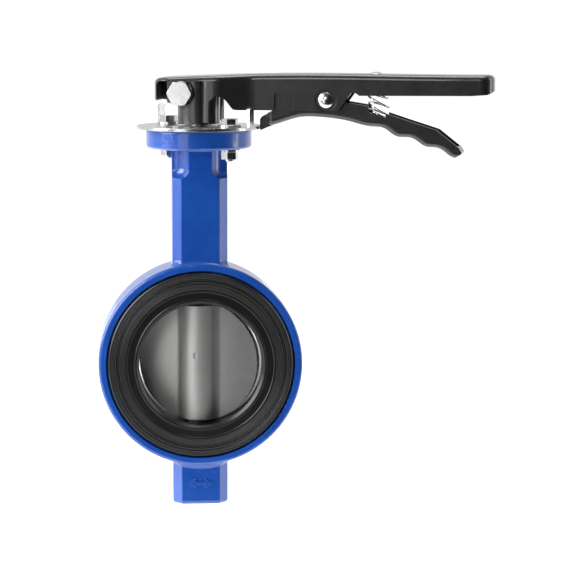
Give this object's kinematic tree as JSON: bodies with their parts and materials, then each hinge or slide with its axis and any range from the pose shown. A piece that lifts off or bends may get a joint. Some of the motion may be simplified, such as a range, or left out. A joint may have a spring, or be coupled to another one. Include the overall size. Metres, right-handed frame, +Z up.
{
  "type": "butterfly valve",
  "caption": "Wafer butterfly valve worked by a hand lever: round cast body with a tall neck, rubber seat, turning disc, notched locking plate and sprung squeeze latch.",
  "frame": {"origin": "centre of the bore, where the pipe axis meets the stem axis", "axes": "+Y along the pipe axis, +Z up the stem towards the lever, +X the way the lever points when the valve is shut"},
  "size_m": [0.331, 0.1296, 0.3709],
  "materials": {
    "blue_paint": "gloss",
    "seat_rubber": "satin",
    "seal_rubber": "matte",
    "bearing_plastic": "matte",
    "spring_steel": "satin",
    "zinc_plate": "bright",
    "cast_disc": "satin",
    "stem_steel": "satin",
    "black_paint": "gloss"
  },
  "bodies": {
    "valve_body": {"body_casting": "blue_paint", "seat_liner": "seat_rubber", "stem_bush": "bearing_plastic", "guide_bush": "bearing_plastic", "lower_stem_bush": "bearing_plastic", "stem_o_rings": "seal_rubber", "bush_retaining_ring": "spring_steel", "bottom_plug": "zinc_plate", "bottom_plug_gasket": "seal_rubber", "notch_plate": "zinc_plate", "notch_plate_bolts": "zinc_plate", "notch_plate_washers": "zinc_plate", "flange_nut_washers": "zinc_plate", "flange_nuts": "zinc_plate"},
    "stem_and_lever": {"disc": "cast_disc", "upper_stem": "stem_steel", "lower_stem": "stem_steel", "lever": "black_paint", "lever_hub": "black_paint", "clamp_bolt": "zinc_plate", "clamp_washers": "zinc_plate", "clamp_nut": "zinc_plate", "trigger_pivot_rivet": "zinc_plate", "spring_stud": "zinc_plate", "trigger_spring": "spring_steel"},
    "latch": {"trigger": "black_paint"}
  },
  "joints": [
    {"name": "stem_turn", "type": "hinge", "parent": "valve_body", "child": "stem_and_lever", "pos_m": [0, 0, 0], "axis": [0, 0, 1], "range_deg": [0, 120]},
    {"name": "latch_squeeze", "type": "hinge", "parent": "stem_and_lever", "child": "latch", "pos_m": [0.1077, -0.02886, 0.2255], "axis": [-0.2588, -0.9659, 0], "range_deg": [0, 12], "stiffness_Nm_per_rad": 4, "springref_deg": -14.32, "deforming": ["trigger_spring"]}
  ]
}
